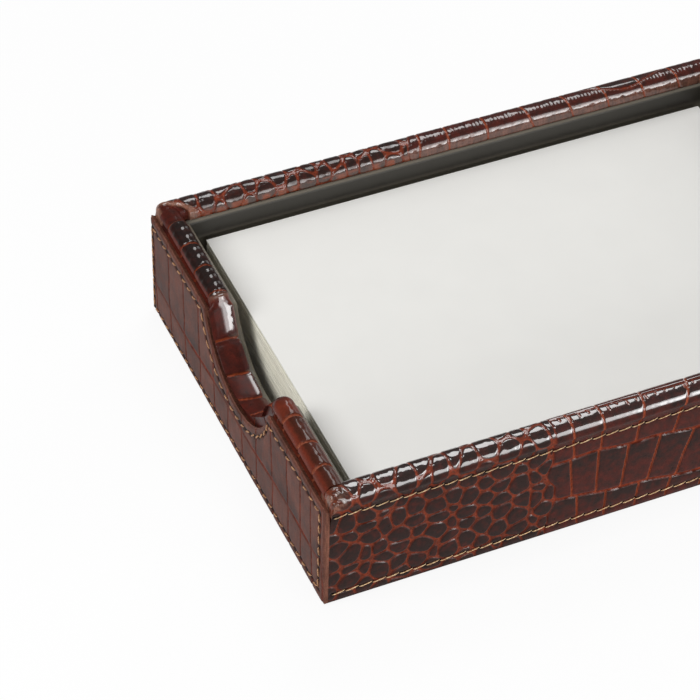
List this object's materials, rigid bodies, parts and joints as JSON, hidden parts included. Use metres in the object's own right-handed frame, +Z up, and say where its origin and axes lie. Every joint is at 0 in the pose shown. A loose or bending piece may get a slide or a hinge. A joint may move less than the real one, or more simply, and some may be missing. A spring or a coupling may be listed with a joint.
{
  "type": "memo tray",
  "caption": "Open leather-covered desk tray with a rolled rim, sewn end panels and a round thumb notch in one end, holding a stack of loose memo sheets that lift out.",
  "frame": {"origin": "under the middle of the tray, on the surface that it stands on", "axes": "+X along the tray's length, with the notched end at -X; +Y towards the back; +Z up"},
  "size_m": [0.1788, 0.1212, 0.039],
  "materials": {
    "croc_leather": "dark red-brown leather embossed with scales, polished",
    "panel_leather": "grey-brown leather embossed with long scales, satin",
    "lining_leather": "charcoal smooth lining, satin",
    "board": "pressed board, raw",
    "felt": "dark wool felt",
    "thread": "waxed tan thread",
    "paper": "uncoated off-white card"
  },
  "bodies": {
    "tray": {"front_wall_cover": "croc_leather", "back_wall_cover": "croc_leather", "left_wall_cover": "croc_leather", "right_wall_cover": "croc_leather", "left_end_panel": "panel_leather", "right_end_panel": "panel_leather", "front_lining": "lining_leather", "back_lining": "lining_leather", "left_lining": "lining_leather", "right_lining": "lining_leather", "floor_lining": "lining_leather", "base_board": "board", "front_wall_board": "board", "back_wall_board": "board", "left_wall_board": "board", "right_wall_board": "board", "base_felt": "felt", "front_upper_stitches": "thread", "front_lower_stitches": "thread", "back_upper_stitches": "thread", "back_lower_stitches": "thread", "left_panel_stitches": "thread", "right_panel_stitches": "thread"},
    "memo_stack": {"memo_stack": "paper"},
    "top_sheet": {"top_sheet": "paper"}
  },
  "joints": [
    {"name": "stack_lift", "type": "slide", "parent": "tray", "child": "memo_stack", "axis": [0, 0, 1], "range_m": [0, 0.045]},
    {"name": "sheet_lift", "type": "slide", "parent": "memo_stack", "child": "top_sheet", "axis": [0, 0, 1], "range_m": [0, 0.02]}
  ]
}
